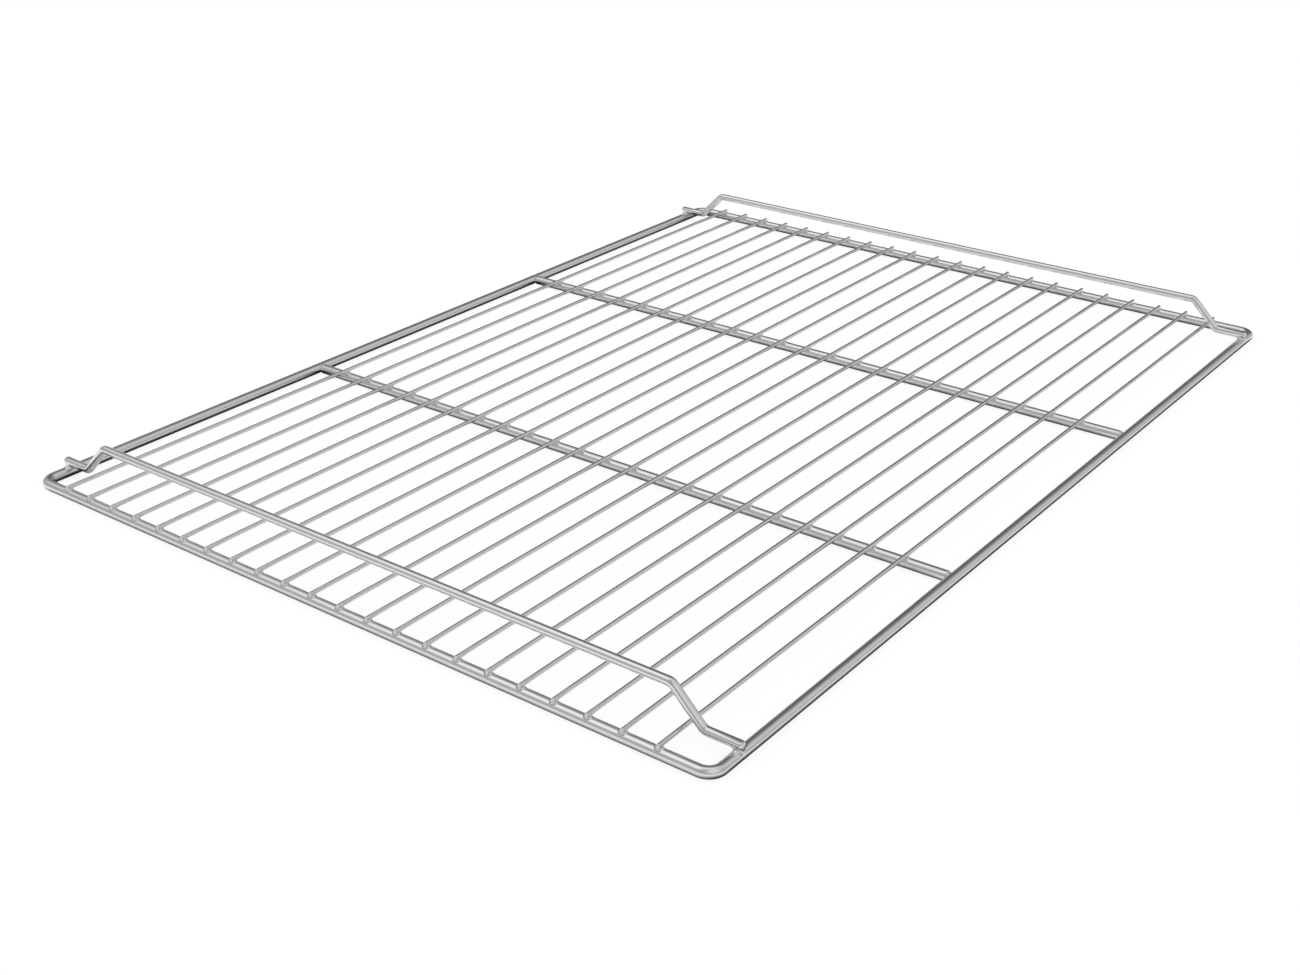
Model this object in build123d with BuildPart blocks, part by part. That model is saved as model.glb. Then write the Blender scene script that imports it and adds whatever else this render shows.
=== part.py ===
"""Wire rack for a convection oven, welded from round steel rod and wire.

A bent frame, two support bars, a row of grid wires and a raised rail at each end.
Millimetres. The origin lies under the middle of the frame, level with the underside of its rods.
+X runs along the grid wires, -Y faces the oven door and +Z is up.
"""
import os
from math import radians, tan

from build123d import *

# Frame: one rod bent to a closed loop. The support bars are cut square from the same rod,
# pressed end on into the front and rear rods and welded.
overall_length = 715.0
overall_depth = 520.7
rod = 6.8
corner_radius = 8.0
bar_spacing = 238.0
bar_set_in = 0.4

# Grid wires: straight, laid across the end rods and the support bars, and welded at each crossing.
# The row lies a little behind the middle of the frame, and so do the rails.
wire = 2.65
wire_pitch = 21.68
wire_overrun = 2.3
wire_set_down = 0.15
wire_rear_shift = 1.6
least_side_gap = 12.0

# Rails: rods with two cranked ends, whose feet are welded on top of the front and rear rods
rail = 5.35
rail_rise = 19.5
rail_leg_angle = 45.0
rail_bend_radius = 5.5
rail_overrun = 3.7
rail_set_down = 0.4
rail_rear_shift = 0.9
rail_corner_gap = 13.9
leg_wire_gap = 9.75

# Centre lines of the frame's rods
end_rod_x = (overall_length - rod) / 2
side_rod_y = (overall_depth - rod) / 2
rod_z = rod / 2

# Grid wires: as many as fit between the frame's bends, from the front to the rear
wire_room = 2 * (side_rod_y - corner_radius - least_side_gap)
wire_count = int(wire_room / wire_pitch) + 1
wire_half_row = (wire_count - 1) * wire_pitch / 2
wire_length = 2 * (end_rod_x + wire_overrun)
wire_z = rod + wire / 2 - wire_set_down

# Rails: the feet reach over the front and rear rods, and the legs rise clear of the outermost wires
rail_x = end_rod_x - corner_radius - rail_corner_gap
rail_foot_z = rod + rail / 2 - rail_set_down
rail_bar_z = rail_foot_z + rail_rise
rail_tip_y = side_rod_y + rail_overrun
rail_lower_y = wire_half_row + leg_wire_gap
rail_upper_y = rail_lower_y - rail_rise / tan(radians(rail_leg_angle))

os.makedirs("parts", exist_ok=True)

# Frame
with BuildPart() as frame:
    with BuildLine(Plane.XY.offset(rod_z)) as loop:
        FilletPolyline(
            (-end_rod_x, -side_rod_y),
            (end_rod_x, -side_rod_y),
            (end_rod_x, side_rod_y),
            (-end_rod_x, side_rod_y),
            radius=corner_radius,
            close=True,
        )
    with BuildSketch(Plane(loop.wire() ^ 0)):
        Circle(rod / 2)
    sweep()
frame.part.label = "frame"
export_step(frame.part, "parts/frame.step")

# Support bars, each with a shallow saddle where an end is pressed into a rod
bar_half_length = side_rod_y - rod / 2 + bar_set_in
bars = []
for side, bar_x in (("left", -bar_spacing / 2), ("right", bar_spacing / 2)):
    with BuildPart() as bar:
        with BuildSketch(Plane.XZ):
            with Locations((bar_x, rod_z)):
                Circle(rod / 2)
        extrude(amount=bar_half_length, both=True)
        add(frame.part, mode=Mode.SUBTRACT)
    bar.part.label = f"support_bar_{side}"
    export_step(bar.part, f"parts/support_bar_{side}.step")
    bars.append(bar.part)

# Grid wires, each with a saddle where it is welded to a rod or a bar
for number in range(wire_count):
    wire_y = wire_rear_shift - wire_half_row + number * wire_pitch
    with BuildPart() as grid_wire:
        with BuildSketch(Plane.YZ):
            with Locations((wire_y, wire_z)):
                Circle(wire / 2)
        extrude(amount=wire_length / 2, both=True)
        add(frame.part, mode=Mode.SUBTRACT)
        add(bars, mode=Mode.SUBTRACT)
    grid_wire.part.label = f"grid_wire_{number + 1:02d}"
    export_step(grid_wire.part, f"parts/grid_wire_{number + 1:02d}.step")

# Rails, each with a saddle under its two feet
for side, side_x in (("left", -rail_x), ("right", rail_x)):
    rail_plane = Plane(origin=(side_x, rail_rear_shift, 0), x_dir=(0, 1, 0), z_dir=(1, 0, 0))
    with BuildPart() as end_rail:
        with BuildLine(rail_plane) as crank:
            FilletPolyline(
                (-rail_tip_y, rail_foot_z),
                (-rail_lower_y, rail_foot_z),
                (-rail_upper_y, rail_bar_z),
                (rail_upper_y, rail_bar_z),
                (rail_lower_y, rail_foot_z),
                (rail_tip_y, rail_foot_z),
                radius=rail_bend_radius,
            )
        with BuildSketch(Plane(crank.wire() ^ 0)):
            Circle(rail / 2)
        sweep()
        add(frame.part, mode=Mode.SUBTRACT)
    end_rail.part.label = f"{side}_rail"
    export_step(end_rail.part, f"parts/{side}_rail.step")
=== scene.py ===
"""Looks of a welded wire rack for a convection oven: drawn steel rods and wires, plated with bright chrome.

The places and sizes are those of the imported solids. Sizes here are in millimetres, and meshes in metres.
"""

from math import atan2, copysign, cos, hypot, pi, radians, sin, tan

import bpy
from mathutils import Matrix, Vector


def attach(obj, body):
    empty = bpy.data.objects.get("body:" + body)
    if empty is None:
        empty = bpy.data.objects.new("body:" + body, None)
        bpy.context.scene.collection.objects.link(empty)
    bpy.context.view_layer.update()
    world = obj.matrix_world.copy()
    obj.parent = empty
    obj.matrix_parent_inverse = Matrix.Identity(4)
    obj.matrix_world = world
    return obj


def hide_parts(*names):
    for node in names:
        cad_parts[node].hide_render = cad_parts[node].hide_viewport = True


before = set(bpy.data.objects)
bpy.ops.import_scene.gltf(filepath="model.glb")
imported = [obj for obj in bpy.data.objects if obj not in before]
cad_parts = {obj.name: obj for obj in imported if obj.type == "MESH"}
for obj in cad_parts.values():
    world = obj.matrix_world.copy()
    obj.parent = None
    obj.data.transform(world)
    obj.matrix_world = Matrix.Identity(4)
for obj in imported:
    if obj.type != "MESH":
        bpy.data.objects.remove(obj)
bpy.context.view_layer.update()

MM = 0.001

# Sizes of the rods, wires and rails, as the solids have them
overall_length = 715.0
overall_depth = 520.7
rod = 6.8
corner_radius = 8.0
bar_spacing = 238.0
bar_set_in = 0.4
wire = 2.65
wire_pitch = 21.68
wire_count = 22
wire_overrun = 2.3
wire_set_down = 0.15
wire_rear_shift = 1.6
rail = 5.35
rail_rise = 19.5
rail_leg_angle = 45.0
rail_bend_radius = 5.5
rail_overrun = 3.7
rail_set_down = 0.4
rail_rear_shift = 0.9
rail_corner_gap = 13.9
leg_wire_gap = 9.75

# The weld and the plating round the rims of the cut ends this much
wire_rim = 1.15
rail_rim = 1.9
bar_rim = 1.5

# Centre lines
end_rod_x = (overall_length - rod) / 2
side_rod_y = (overall_depth - rod) / 2
rod_z = rod / 2
wire_half_row = (wire_count - 1) * wire_pitch / 2
wire_half_length = end_rod_x + wire_overrun
wire_z = rod + wire / 2 - wire_set_down
wire_rows = [wire_rear_shift - wire_half_row + number * wire_pitch for number in range(wire_count)]
rail_x = end_rod_x - corner_radius - rail_corner_gap
rail_foot_z = rod + rail / 2 - rail_set_down
rail_bar_z = rail_foot_z + rail_rise
rail_tip_y = side_rod_y + rail_overrun
rail_lower_y = wire_half_row + leg_wire_gap
rail_upper_y = rail_lower_y - rail_rise / tan(radians(rail_leg_angle))
bar_x = bar_spacing / 2
bar_half_length = side_rod_y - rod / 2 + bar_set_in


def add(tree, kind, links=None, **settings):
    """Adds a node with its settings; links gives each input a value, or the output that feeds it."""
    made = tree.nodes.new(kind)
    for name, value in settings.items():
        setattr(made, name, value)
    for socket, value in (links or {}).items():
        if isinstance(value, bpy.types.NodeSocket):
            tree.links.new(value, made.inputs[socket])
        else:
            made.inputs[socket].default_value = value
    return made


def linear(hex_colour):
    """An sRGB hex value as linear red, green, blue and alpha."""
    parts = [int(hex_colour[place:place + 2], 16) / 255 for place in (1, 3, 5)]
    curve = [part / 12.92 if part <= 0.04045 else ((part + 0.055) / 1.055) ** 2.4 for part in parts]
    return (*curve, 1.0)


def new_material(name):
    """An empty node material and its tree."""
    material = bpy.data.materials.new(name)
    material.use_nodes = True
    material.node_tree.nodes.clear()
    return material, material.node_tree


def bright_chrome_on_drawn_steel():
    """Bright chrome over nickel on cold drawn wire: a neutral mirror, a little soft, that still shows the
    drawing lines along each rod, with a faint unevenness of the plating every few millimetres."""
    material, tree = new_material("bright_chrome_on_drawn_steel")
    # Drawing lines are about 0.1 mm wide, too fine to show, so they are drawn wider, and very long
    line_width = 0.5 * MM
    line_depth = 0.004 * MM
    width_to_length = 0.012
    section = add(tree, "ShaderNodeAttribute", attribute_name="section").outputs["Vector"]
    run = add(tree, "ShaderNodeAttribute", attribute_name="run").outputs["Fac"]
    stretched = add(tree, "ShaderNodeMath", {0: run, 1: width_to_length}, operation="MULTIPLY").outputs[0]
    along = add(tree, "ShaderNodeCombineXYZ", {"Z": stretched}).outputs[0]
    around = add(tree, "ShaderNodeVectorMath", {0: section, 1: along}, operation="ADD").outputs[0]
    lines = add(tree, "ShaderNodeTexNoise",
                {"Vector": around, "Scale": 1 / line_width, "Detail": 2.0}).outputs[0]
    bump = add(tree, "ShaderNodeBump", {"Height": lines, "Strength": 1.0, "Distance": line_depth}).outputs[0]
    # The plating is a little cloudy in patches of this length
    patch = 9 * MM
    place = add(tree, "ShaderNodeTexCoord").outputs["Object"]
    clouds = add(tree, "ShaderNodeTexNoise", {"Vector": place, "Scale": 1 / patch, "Detail": 3.0}).outputs[0]
    gloss = add(tree, "ShaderNodeMapRange", {"Value": clouds, "From Min": 0.3, "From Max": 0.7,
                                             "To Min": 0.14, "To Max": 0.22}).outputs[0]
    plate = add(tree, "ShaderNodeMix", {0: clouds, 6: linear("#DEDFE0"), 7: linear("#E4E5E6")},
                data_type="RGBA").outputs[2]
    shader = add(tree, "ShaderNodeBsdfPrincipled", {"Base Color": plate, "Metallic": 1.0, "Roughness": gloss,
                                                    "Normal": bump})
    add(tree, "ShaderNodeOutputMaterial", {"Surface": shader.outputs[0]})
    return material


def bright_chrome_on_weld():
    """The same chrome over resistance welds: the squeezed metal is grainy under the plate, so it is
    more satin."""
    material, tree = new_material("bright_chrome_on_weld")
    grain_size = 0.9 * MM
    grain_depth = 0.01 * MM
    place = add(tree, "ShaderNodeTexCoord").outputs["Object"]
    grain = add(tree, "ShaderNodeTexNoise",
                {"Vector": place, "Scale": 1 / grain_size, "Detail": 3.0}).outputs[0]
    bump = add(tree, "ShaderNodeBump", {"Height": grain, "Strength": 1.0, "Distance": grain_depth}).outputs[0]
    gloss = add(tree, "ShaderNodeMapRange", {"Value": grain, "From Min": 0.3, "From Max": 0.7,
                                             "To Min": 0.2, "To Max": 0.34}).outputs[0]
    tint = add(tree, "ShaderNodeMix", {0: grain, 6: linear("#CFD0D1"), 7: linear("#E0E1E2")},
               data_type="RGBA").outputs[2]
    shader = add(tree, "ShaderNodeBsdfPrincipled", {"Base Color": tint, "Metallic": 1.0, "Roughness": gloss,
                                                    "Normal": bump})
    add(tree, "ShaderNodeOutputMaterial", {"Surface": shader.outputs[0]})
    return material


rod_chrome = bright_chrome_on_drawn_steel()
weld_chrome = bright_chrome_on_weld()


def new_tree(name, inputs):
    """A geometry node tree with a geometry input, the named inputs and a geometry output."""
    tree = bpy.data.node_groups.new(name, "GeometryNodeTree")
    tree.interface.new_socket("Geometry", in_out="INPUT", socket_type="NodeSocketGeometry")
    for label, kind in inputs:
        tree.interface.new_socket(label, in_out="INPUT", socket_type=kind)
    tree.interface.new_socket("Geometry", in_out="OUTPUT", socket_type="NodeSocketGeometry")
    return tree, add(tree, "NodeGroupInput").outputs


def drawn_rod_tree():
    """Bends a round rod along a path of straight runs, and keeps each point's place in the section and
    along the run. Folds steeper than the steepest gentle one stay sharp."""
    steepest_gentle = radians(38)
    tree, given = new_tree("drawn_rod", [("Diameter", "NodeSocketFloat"), ("Bend Radius", "NodeSocketFloat"),
                                         ("Bend Steps", "NodeSocketInt"), ("Sides", "NodeSocketInt"),
                                         ("Finish", "NodeSocketMaterial")])
    path = add(tree, "GeometryNodeMeshToCurve", {"Mesh": given["Geometry"]}).outputs[0]
    bent = add(tree, "GeometryNodeFilletCurve", {"Curve": path, "Count": given["Bend Steps"],
                                                 "Radius": given["Bend Radius"], "Limit Radius": True},
               mode="POLY").outputs[0]
    length = add(tree, "GeometryNodeSplineParameter").outputs["Length"]
    measured = add(tree, "GeometryNodeStoreNamedAttribute",
                   {"Geometry": bent, "Name": "run", "Value": length}, data_type="FLOAT").outputs[0]
    half = add(tree, "ShaderNodeMath", {0: given["Diameter"], 1: 0.5}, operation="MULTIPLY").outputs[0]
    circle = add(tree, "GeometryNodeCurvePrimitiveCircle",
                 {"Resolution": given["Sides"], "Radius": half}).outputs[0]
    spot = add(tree, "GeometryNodeInputPosition").outputs[0]
    section = add(tree, "GeometryNodeStoreNamedAttribute", {"Geometry": circle, "Name": "section"},
                  data_type="FLOAT_VECTOR")
    tree.links.new(spot, section.inputs["Value"])
    thickness = add(tree, "GeometryNodeInputNamedAttribute", {"Name": "thickness"},
                    data_type="FLOAT").outputs[0]
    tube = add(tree, "GeometryNodeCurveToMesh", {"Curve": measured, "Profile Curve": section.outputs[0],
                                                 "Scale": thickness, "Fill Caps": True}).outputs[0]
    smooth = add(tree, "GeometryNodeSetShadeSmooth", {"Geometry": tube, "Shade Smooth": True}).outputs[0]
    fold = add(tree, "GeometryNodeInputMeshEdgeAngle").outputs["Unsigned Angle"]
    gentle = add(tree, "FunctionNodeCompare", {0: fold, 1: steepest_gentle}, operation="LESS_THAN").outputs[0]
    rims = add(tree, "GeometryNodeSetShadeSmooth", {"Geometry": smooth, "Shade Smooth": gentle},
               domain="EDGE").outputs[0]
    real = add(tree, "GeometryNodeRealizeInstances", {"Geometry": rims}).outputs[0]
    plated = add(tree, "GeometryNodeSetMaterial", {"Geometry": real, "Material": given["Finish"]}).outputs[0]
    add(tree, "NodeGroupOutput", {"Geometry": plated})
    return tree


def weld_tree():
    """Puts one weld shape at each joint, turned to fit its rods, and shortens it by a random share."""
    tree, given = new_tree("welds_at_joints", [("Weld", "NodeSocketObject"), ("Variation", "NodeSocketFloat"),
                                               ("Seed", "NodeSocketInt"), ("Finish", "NodeSocketMaterial")])
    shape = add(tree, "GeometryNodeObjectInfo", {"Object": given["Weld"]}).outputs["Geometry"]
    turn = add(tree, "GeometryNodeInputNamedAttribute", {"Name": "turn"}, data_type="FLOAT").outputs[0]
    upright = add(tree, "ShaderNodeCombineXYZ", {"Z": turn}).outputs[0]
    least = add(tree, "ShaderNodeMath", {0: 1.0, 1: given["Variation"]}, operation="SUBTRACT").outputs[0]
    drawn = add(tree, "FunctionNodeRandomValue", {2: least, 3: 1.0, "Seed": given["Seed"]},
                data_type="FLOAT").outputs[1]
    size = add(tree, "ShaderNodeCombineXYZ", {"X": 1.0, "Y": drawn, "Z": 1.0}).outputs[0]
    placed = add(tree, "GeometryNodeInstanceOnPoints", {"Points": given["Geometry"], "Instance": shape,
                                                        "Rotation": upright, "Scale": size}).outputs[0]
    real = add(tree, "GeometryNodeRealizeInstances", {"Geometry": placed}).outputs[0]
    plated = add(tree, "GeometryNodeSetMaterial", {"Geometry": real, "Material": given["Finish"]}).outputs[0]
    add(tree, "NodeGroupOutput", {"Geometry": plated})
    return tree


rod_tree = drawn_rod_tree()
joint_tree = weld_tree()


def mesh_object(name, points, edges=(), faces=()):
    """An object at the origin, from points in millimetres."""
    mesh = bpy.data.meshes.new(name)
    mesh.from_pydata([tuple(MM * value for value in point) for point in points], list(edges), list(faces))
    made = bpy.data.objects.new(name, mesh)
    bpy.context.scene.collection.objects.link(made)
    return made


def point_values(made, name, values):
    """Keeps one number for each point of a mesh."""
    made.data.attributes.new(name, "FLOAT", "POINT").data.foreach_set("value", values)


def grow(made, tree, **values):
    """Runs a geometry node tree on an object once, and leaves it a plain mesh."""
    modifier = made.modifiers.new(tree.name, "NODES")
    modifier.node_group = tree
    for item in tree.interface.items_tree:
        if item.in_out == "INPUT" and item.name in values:
            modifier[item.identifier] = values[item.name]
    made.update_tag()
    graph = bpy.context.evaluated_depsgraph_get()
    mesh = bpy.data.meshes.new_from_object(made.evaluated_get(graph), preserve_all_data_layers=True,
                                           depsgraph=graph)
    made.modifiers.clear()
    start = made.data
    made.data = mesh
    bpy.data.meshes.remove(start)
    mesh.name = made.name
    return made


bend_steps = 14


def drawn_rod(name, path, thickness, diameter, bend_radius=0.0, closed=False, sides=48):
    """One rod or wire: a path in millimetres, with the share of its full thickness at each point."""
    edges = [(place, place + 1) for place in range(len(path) - 1)]
    if closed:
        edges.append((len(path) - 1, 0))
    made = mesh_object(name, path, edges)
    point_values(made, "thickness", thickness)
    return grow(made, rod_tree, **{"Diameter": diameter * MM, "Bend Radius": bend_radius * MM,
                                   "Bend Steps": bend_steps, "Sides": sides, "Finish": rod_chrome})


def rounded_ends(ends, middle, diameter, rim):
    """A path between two cut ends, with the points and thicknesses that round their rims."""
    arc_steps = 6
    angles = [radians(90 / arc_steps * step) for step in range(arc_steps + 1)]
    steps = [(1 - cos(angle), 1 - sin(angle)) for angle in angles]
    first, last = Vector(ends[0]), Vector(ends[1])
    chain = [first] + [Vector(point) for point in middle] + [last]
    inward = (chain[1] - first).normalized()
    outward = (chain[-2] - last).normalized()
    head = [first + inward * rim * depth for depth, cut in steps]
    tail = [last + outward * rim * depth for depth, cut in reversed(steps)]
    shares = [1 - 2 * rim * cut / diameter for depth, cut in steps]
    path = head + chain[1:-1] + tail
    return path, shares + [1.0] * len(middle) + shares[::-1]


# The frame, one rod bent to a closed loop
loop = [(-end_rod_x, -side_rod_y, rod_z), (end_rod_x, -side_rod_y, rod_z),
        (end_rod_x, side_rod_y, rod_z), (-end_rod_x, side_rod_y, rod_z)]
pieces = {"frame": drawn_rod("chromed_frame", loop, [1.0] * 4, rod, corner_radius, closed=True)}

# The support bars, pressed end on into the front and rear rods
for side, middle_x in (("left", -bar_x), ("right", bar_x)):
    tips = [(middle_x, -bar_half_length, rod_z), (middle_x, bar_half_length, rod_z)]
    line, shares = rounded_ends(tips, [], rod, bar_rim)
    pieces[f"support_bar_{side}"] = drawn_rod(f"chromed_support_bar_{side}", line, shares, rod)

# The grid wires, from the front to the rear
for number, row_y in enumerate(wire_rows):
    tips = [(-wire_half_length, row_y, wire_z), (wire_half_length, row_y, wire_z)]
    line, shares = rounded_ends(tips, [], wire, wire_rim)
    node = f"grid_wire_{number + 1:02d}"
    pieces[node] = drawn_rod(f"chromed_{node}", line, shares, wire, sides=28)

# The rails, cranked at both ends
for side, middle_x in (("left", -rail_x), ("right", rail_x)):
    crank = [(-rail_tip_y, rail_foot_z), (-rail_lower_y, rail_foot_z), (-rail_upper_y, rail_bar_z),
             (rail_upper_y, rail_bar_z), (rail_lower_y, rail_foot_z), (rail_tip_y, rail_foot_z)]
    corners = [(middle_x, rail_rear_shift + along, height) for along, height in crank]
    line, shares = rounded_ends((corners[0], corners[-1]), corners[1:-1], rail, rail_rim)
    pieces[f"{side}_rail"] = drawn_rod(f"chromed_{side}_rail", line, shares, rail, rail_bend_radius, sides=44)


def halved(low, high, is_low):
    """The place between two values where a test stops being true."""
    halvings = 36
    for halving in range(halvings):
        middle = (low + high) / 2
        if is_low(middle):
            low = middle
        else:
            high = middle
    return (low + high) / 2


def weld_rows(tip, outward, radius, rim, sink, melt, stretch=1.0):
    """The metal squeezed out where a rod is pressed into the crest of a frame rod, which lies along Y just
    below the origin. The pressed rod has this radius, and ends at a tip with a round rim, that faces outward.
    The weld is the skin that melts the rods into one where both are nearer than the melt. It is stretched
    along the frame rod, beyond the pressed one. Each row of points runs from the frame rod to the pressed
    rod, and the rows go round the joint."""
    steepest = 1.4
    closeness = 0.55
    heart = Vector((0.0, 0.0, -sink / 2))
    end, facing = Vector(tip), Vector(outward)

    def gaps(spot):
        """How far a spot is outside the frame rod, and outside the pressed one."""
        along = (spot - end).dot(facing)
        out = (spot - end - facing * along).length - radius + rim
        past = along + rim
        from_pressed = hypot(max(out, 0.0), max(past, 0.0)) + min(max(out, past), 0.0) - rim
        return hypot(spot.x, spot.z + rod / 2) - rod / 2, from_pressed

    def is_metal(spot):
        """Whether a spot is inside the rods or the metal that bridges them."""
        from_frame, from_pressed = gaps(spot)
        bridge = max(melt - abs(from_frame - from_pressed), 0.0)
        return min(from_frame, from_pressed) < bridge ** 2 / (4 * melt)

    def surface(turn, rise):
        """Where a ray from the heart of the weld comes out of the metal."""
        ray = Vector((cos(turn) * cos(rise), sin(turn) * cos(rise), sin(rise)))
        return heart + ray * halved(0.0, 2 * rod, lambda reach: is_metal(heart + ray * reach))

    rows = []
    row_count = 18
    steps = 4
    for number in range(row_count):
        # The rows stand closer where the skin runs up under the pressed rod
        share = 2 * pi * number / row_count
        turn = atan2(closeness * sin(share), cos(share))
        low = halved(-steepest, steepest, lambda rise: gaps(surface(turn, rise))[1] > melt)
        high = halved(-steepest, steepest, lambda rise: gaps(surface(turn, rise))[0] < melt)
        row = [surface(turn, low + (high - low) * step / steps) for step in range(steps + 1)]
        for spot in row:
            beyond = max(abs(spot.y) - radius, 0.0)
            spot.y += copysign((stretch - 1) * beyond, spot.y)
        rows.append(row)
    return rows


def welds(name, rows, joints, seed):
    """All welds of one kind as one piece. A joint is a point in millimetres and a turn about Z, and the welds
    differ by up to the variation in how long they are."""
    variation = 0.16
    span = len(rows[0])
    faces = []
    for number in range(len(rows)):
        here = number * span
        there = (number + 1) % len(rows) * span
        faces += [(here + step, there + step, there + step + 1, here + step + 1) for step in range(span - 1)]
    shape = mesh_object("weld", [spot for row in rows for spot in row], faces=faces)
    shape.data.shade_smooth()
    made = mesh_object(name, [place for place, turn in joints])
    point_values(made, "turn", [turn for place, turn in joints])
    grow(made, joint_tree, **{"Weld": shape, "Variation": variation, "Seed": seed, "Finish": weld_chrome})
    left_over = shape.data
    bpy.data.objects.remove(shape)
    bpy.data.meshes.remove(left_over)
    return made


# The welds: under the wires' ends, where the wires cross the support bars, under the rails' feet and
# at the bars' ends
along_x = (1, 0, 0)
wire_height = wire / 2 - wire_set_down
wire_melt = 1.5
wire_stretch = 1.6
wire_end = weld_rows((wire_overrun, 0, wire_height), along_x, wire / 2, wire_rim, wire_set_down, wire_melt,
                     wire_stretch)
far_tip = 100.0
wire_cross = weld_rows((far_tip, 0, wire_height), along_x, wire / 2, wire_rim, wire_set_down, wire_melt,
                       wire_stretch)
foot_height = rail / 2 - rail_set_down
foot_melt = 2.4
foot_stretch = 1.9
front_tip = rail_overrun - rail_rear_shift
front_foot = weld_rows((front_tip, 0, foot_height), along_x, rail / 2, rail_rim, rail_set_down, foot_melt,
                       foot_stretch)
rear_tip = rail_overrun + rail_rear_shift
rear_foot = weld_rows((rear_tip, 0, foot_height), along_x, rail / 2, rail_rim, rail_set_down, foot_melt,
                      foot_stretch)
bar_melt = 1.2
standing_bar = weld_rows((0, 0, -bar_set_in), (0, 0, -1), rod / 2, bar_rim, bar_set_in, bar_melt)
# The bar's weld is tipped over, so that the frame rod lies along X and the bar runs to +Y
bar_end = [[Vector((spot.y, spot.z + rod / 2, spot.x)) for spot in row] for row in standing_bar]
end_joints = [((side * end_rod_x, row_y, rod), 0.0 if side > 0 else pi)
              for row_y in wire_rows for side in (-1, 1)]
cross_joints = [((side * bar_x, row_y, rod), 0.0) for row_y in wire_rows for side in (-1, 1)]
front_joints = [((side * rail_x, -side_rod_y, rod), -pi / 2) for side in (-1, 1)]
rear_joints = [((side * rail_x, side_rod_y, rod), pi / 2) for side in (-1, 1)]
tee_joints = [((side * bar_x, turn_y * side_rod_y, rod_z), 0.0 if turn_y < 0 else pi)
              for side in (-1, 1) for turn_y in (-1, 1)]
weld_pieces = [
    welds("grid_wire_end_welds", wire_end, end_joints, 11),
    welds("grid_wire_crossing_welds", wire_cross, cross_joints, 12),
    welds("rail_front_foot_welds", front_foot, front_joints, 13),
    welds("rail_rear_foot_welds", rear_foot, rear_joints, 14),
    welds("support_bar_end_welds", bar_end, tee_joints, 15),
]

for node, piece in pieces.items():
    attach(piece, "root")
    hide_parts(node)
for piece in weld_pieces:
    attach(piece, "root")


def white_studio_paper():
    """Matte paper, lifted to white where it is seen, directly or in the chrome. It takes the rack's shadow.
    On top of that, a painted shade darkens the paper close to the rods, more on their -Y side; every ray but
    the camera's sees it, so the chrome mirrors it and the camera does not."""
    lift_level = 0.87
    shade_reach = 20 * MM
    shade_fall = 3.9
    shade_gain = 1.38
    material, tree = new_material("white_studio_paper")
    light = add(tree, "ShaderNodeLightPath").outputs
    mirrored = add(tree, "ShaderNodeMath", {0: light["Is Glossy Ray"], 1: light["Is Transmission Ray"]},
                   operation="MAXIMUM").outputs[0]
    seen = add(tree, "ShaderNodeMath", {0: light["Is Camera Ray"], 1: mirrored},
               operation="MAXIMUM").outputs[0]
    lift = add(tree, "ShaderNodeMath", {0: seen, 1: lift_level}, operation="MULTIPLY").outputs[0]
    paper = add(tree, "ShaderNodeBsdfDiffuse", {"Color": linear("#808080")}).outputs[0]
    glow = add(tree, "ShaderNodeEmission", {"Strength": lift}).outputs[0]
    both = add(tree, "ShaderNodeAddShader", {0: paper, 1: glow}).outputs[0]
    # Painted shade: an occlusion test within the reach, leaning toward +Y, darkens the paper near the rods
    # for all rays but the camera's
    painted_shade_lean = add(tree, "ShaderNodeCombineXYZ", {"X": 0.0, "Y": 0.7, "Z": 0.7}).outputs[0]
    open_air = add(tree, "ShaderNodeAmbientOcclusion", {"Distance": shade_reach, "Normal": painted_shade_lean},
                   samples=8).outputs["AO"]
    falling = add(tree, "ShaderNodeMath", {0: open_air, 1: shade_fall}, operation="POWER").outputs[0]
    painted_shade = add(tree, "ShaderNodeMath", {0: falling, 1: shade_gain}, operation="MULTIPLY",
                use_clamp=True).outputs[0]
    bare = add(tree, "ShaderNodeMath", {0: light["Is Camera Ray"], 1: painted_shade},
               operation="MAXIMUM").outputs[0]
    shaded = add(tree, "ShaderNodeMixShader", {0: bare, 2: both}).outputs[0]
    add(tree, "ShaderNodeOutputMaterial", {"Surface": shaded})
    return material


# The floor, just under the rods
floor_reach = 40000.0
floor_drop = 0.2
floor_corners = [(side * floor_reach, end * floor_reach, -floor_drop)
                 for side, end in ((-1, -1), (1, -1), (1, 1), (-1, 1))]
floor = mesh_object("floor", floor_corners, faces=[(0, 1, 2, 3)])
floor.data.materials.append(white_studio_paper())

# The studio round it: pale grey walls, five soft lights and a dim far corner
world = bpy.data.worlds.new("studio")
world.use_nodes = True
world.node_tree.nodes.clear()
bpy.context.scene.world = world
room = world.node_tree
toward = add(room, "ShaderNodeTexCoord").outputs["Generated"]
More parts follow.
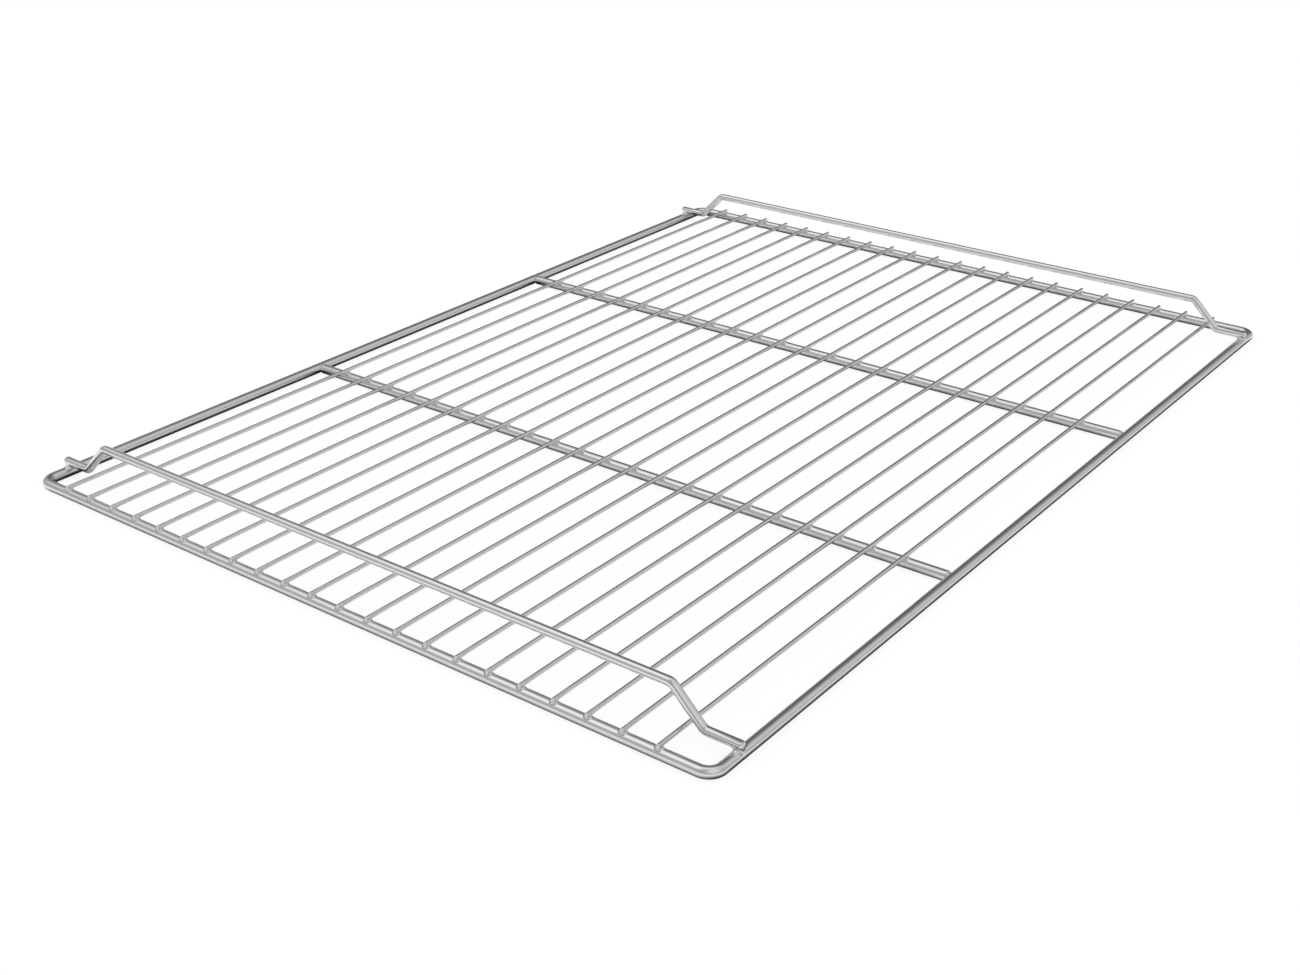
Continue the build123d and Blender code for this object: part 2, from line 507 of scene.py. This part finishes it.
# Each soft light: the way to its middle, the cosine of the angle at its edge, the one where it would be
# full, and what it adds there
soft_lights = (
    ((-0.2, 0.48, 0.855), 0.82, 1.06, 1.05),
    ((0.714, -0.36, 0.6), 0.82, 0.95, 0.3),
    ((-0.3, -0.66, 0.69), 0.75, 1.0, 0.5),
    ((0.15, -0.05, 0.985), 0.92, 0.985, 0.5),
    ((-0.8, 0.54, 0.25), 0.9, 1.0, 0.1),
)
dim_corner = (0.85, 0.35, 0.4)
wall_level = 0.55
level = wall_level
for middle, edge, full, share in soft_lights:
    nearness = add(room, "ShaderNodeVectorMath", {0: toward, 1: Vector(middle).normalized()},
                   operation="DOT_PRODUCT").outputs["Value"]
    soft_light = add(room, "ShaderNodeMapRange",
                     {"Value": nearness, "From Min": edge, "From Max": full, "To Max": share},
                     interpolation_type="SMOOTHSTEP").outputs[0]
    level = add(room, "ShaderNodeMath", {0: soft_light, 1: level}, operation="ADD").outputs[0]
nearness = add(room, "ShaderNodeVectorMath", {0: toward, 1: Vector(dim_corner).normalized()},
               operation="DOT_PRODUCT").outputs["Value"]
dim = add(room, "ShaderNodeMapRange",
          {"Value": nearness, "From Min": 0.66, "From Max": 1.0, "To Min": 1.0, "To Max": 0.34},
          interpolation_type="SMOOTHSTEP").outputs[0]
level = add(room, "ShaderNodeMath", {0: level, 1: dim}, operation="MULTIPLY").outputs[0]
sky = add(room, "ShaderNodeBackground", {"Strength": level}).outputs[0]
add(room, "ShaderNodeOutputWorld", {"Surface": sky})

# The camera, fitted to the photograph
camera_data = bpy.data.cameras.new("camera")
camera_data.sensor_fit = "HORIZONTAL"
camera_data.sensor_width = 36.0
camera_data.lens = 47.778
camera_data.clip_end = 200.0
camera = bpy.data.objects.new("camera", camera_data)
camera.location = (-0.89787, -0.63178, 0.48189)
camera.rotation_euler = Vector((0.714019, 0.540252, -0.445313)).to_track_quat("-Z", "Y").to_euler()
bpy.context.scene.collection.objects.link(camera)
bpy.context.scene.camera = camera
bpy.context.scene.view_settings.view_transform = "Standard"
